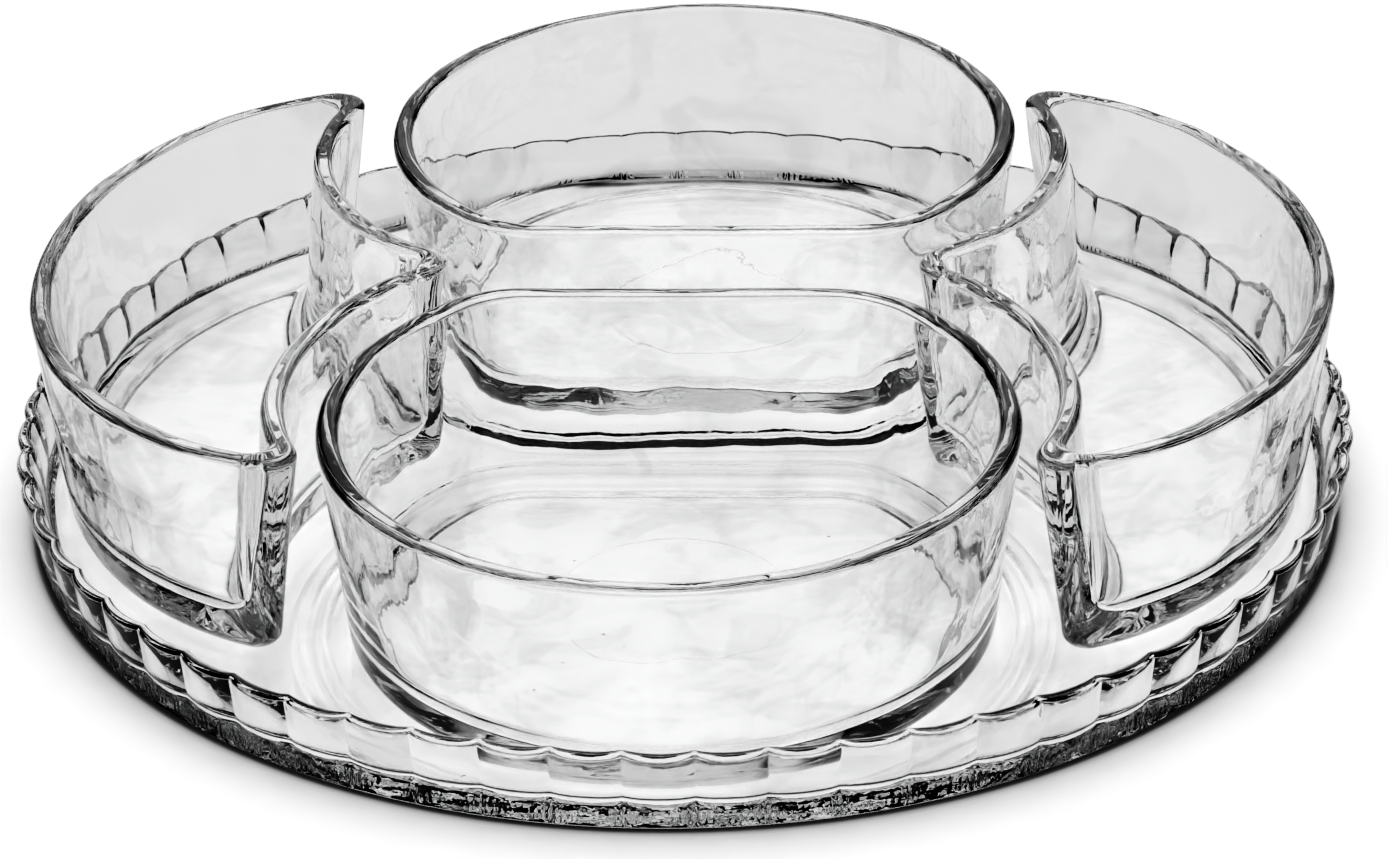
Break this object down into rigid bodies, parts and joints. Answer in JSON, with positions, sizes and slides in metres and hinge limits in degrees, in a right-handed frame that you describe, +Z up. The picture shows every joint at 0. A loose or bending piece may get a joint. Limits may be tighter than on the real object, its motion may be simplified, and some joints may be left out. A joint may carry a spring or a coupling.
{
  "type": "chip and dip server",
  "caption": "Clear pressed-glass chip and dip server: a round tray with a lobed wall holding loose rounded and crescent-shaped bowls that lift out.",
  "frame": {"origin": "centre of the tray's underside, on the table", "axes": "+Z up out of the bowls, +X towards the right side bowl, -Y towards the front dip bowl"},
  "size_m": [0.33, 0.33, 0.0602],
  "materials": {
    "tray_glass": "gloss",
    "dip_bowl_glass": "gloss",
    "side_bowl_glass": "gloss"
  },
  "bodies": {
    "tray": {"serving_tray": "tray_glass"},
    "front_dip": {"front_dip_bowl": "dip_bowl_glass"},
    "back_dip": {"back_dip_bowl": "dip_bowl_glass"},
    "left_side": {"left_side_bowl": "side_bowl_glass"},
    "right_side": {"right_side_bowl": "side_bowl_glass"}
  },
  "joints": [
    {"name": "front_dip_lift", "type": "slide", "parent": "tray", "child": "front_dip", "axis": [0, 0, 1], "range_m": [0, 0.08]},
    {"name": "back_dip_lift", "type": "slide", "parent": "tray", "child": "back_dip", "axis": [0, 0, 1], "range_m": [0, 0.08]},
    {"name": "left_side_lift", "type": "slide", "parent": "tray", "child": "left_side", "axis": [0, 0, 1], "range_m": [0, 0.08]},
    {"name": "right_side_lift", "type": "slide", "parent": "tray", "child": "right_side", "axis": [0, 0, 1], "range_m": [0, 0.08]}
  ]
}
